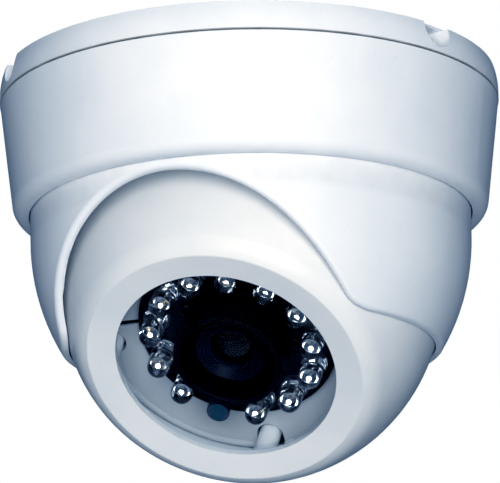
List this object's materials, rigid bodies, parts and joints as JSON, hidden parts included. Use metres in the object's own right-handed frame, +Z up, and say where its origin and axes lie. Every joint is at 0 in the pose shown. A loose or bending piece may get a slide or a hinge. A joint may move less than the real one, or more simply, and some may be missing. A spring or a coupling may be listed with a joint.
{
  "type": "dome cctv camera",
  "caption": "Ceiling dome camera: round base, twist-on cover and a panning turret, with an eyeball that tilts and rolls and holds a lens in a ring of infrared lamps.",
  "frame": {"origin": "centre of the base's ceiling face, on the pan axis", "axes": "+Z up into the ceiling; the camera hangs below and looks towards -Y and down; +X is the tilt axis"},
  "size_m": [0.1106, 0.1106, 0.0903],
  "materials": {
    "housing_plastic": "satin moulded",
    "ball_plastic": "satin moulded",
    "carrier_plastic": "fine matt",
    "black_plastic": "satin",
    "rubber": "matt",
    "gasket_silicone": "grey silicone",
    "screw_black": "black oxide",
    "spring_steel": "bright zinc",
    "screw_steel": "zinc plated",
    "window_clear": "clear moulded acrylic",
    "lamp_epoxy": "water clear epoxy",
    "board_black": "black solder mask",
    "board_green": "green solder mask",
    "sensor_face": "clear varnish over a teal track",
    "chip_ceramic": "ceramic",
    "lens_glass": "coated glass",
    "filter_glass": "coated glass",
    "lock_ring_metal": "black anodised",
    "capacitor_metal": "bright can",
    "connector_plastic": "natural nylon"
  },
  "bodies": {
    "base": {"base_plate": "housing_plastic"},
    "cover": {"cover_collar": "housing_plastic", "pan_friction_ring": "rubber", "turret_snap_ring": "spring_steel"},
    "turret": {"turret_dome": "housing_plastic"},
    "yoke": {"tilt_yoke": "spring_steel", "roll_spring_washer": "spring_steel", "roll_pivot_screw": "screw_steel", "roll_pivot_nut": "screw_steel"},
    "eyeball": {"ball_front_shell": "ball_plastic", "ball_rear_shell": "ball_plastic", "cable_grommet": "rubber", "shell_screws": "screw_steel", "window_gasket": "gasket_silicone", "window": "window_clear", "lens_carrier": "carrier_plastic", "carrier_screws": "screw_steel", "led_board": "board_black", "led_board_screws": "screw_black", "ir_leds": "lamp_epoxy", "light_sensor": "sensor_face", "led_resistors": "chip_ceramic", "lens_hood": "rubber", "main_board": "board_green", "image_sensor": "chip_ceramic", "lens_holder": "black_plastic", "lens_holder_screws": "screw_steel", "infrared_filter": "filter_glass", "processor_chip": "black_plastic", "board_capacitors": "capacitor_metal", "signal_connector": "connector_plastic"},
    "lens": {"lens_barrel": "black_plastic", "front_lens": "lens_glass", "rear_lens": "lens_glass", "lens_lock_ring": "lock_ring_metal"}
  },
  "joints": [
    {"name": "cover_twist", "type": "hinge", "parent": "base", "child": "cover", "pos_m": [0, 0, 0], "axis": [0, 0, 1], "range_deg": [-28, 0]},
    {"name": "pan", "type": "hinge", "parent": "cover", "child": "turret", "pos_m": [0, 0, -0.0378], "axis": [0, 0, 1], "range_deg": [-171, 171]},
    {"name": "tilt", "type": "hinge", "parent": "turret", "child": "yoke", "pos_m": [0, 0, -0.0498], "axis": [1, 0, 0], "range_deg": [-30.5, 38.5]},
    {"name": "roll", "type": "hinge", "parent": "yoke", "child": "eyeball", "pos_m": [0, 0, -0.0498], "axis": [0, -0.6225, -0.7826], "range_deg": [-90, 90]},
    {"name": "lens_focus", "type": "hinge", "parent": "eyeball", "child": "lens", "pos_m": [0, 0, -0.0498], "axis": [0, -0.6225, -0.7826], "range_deg": [-180, 180]}
  ]
}
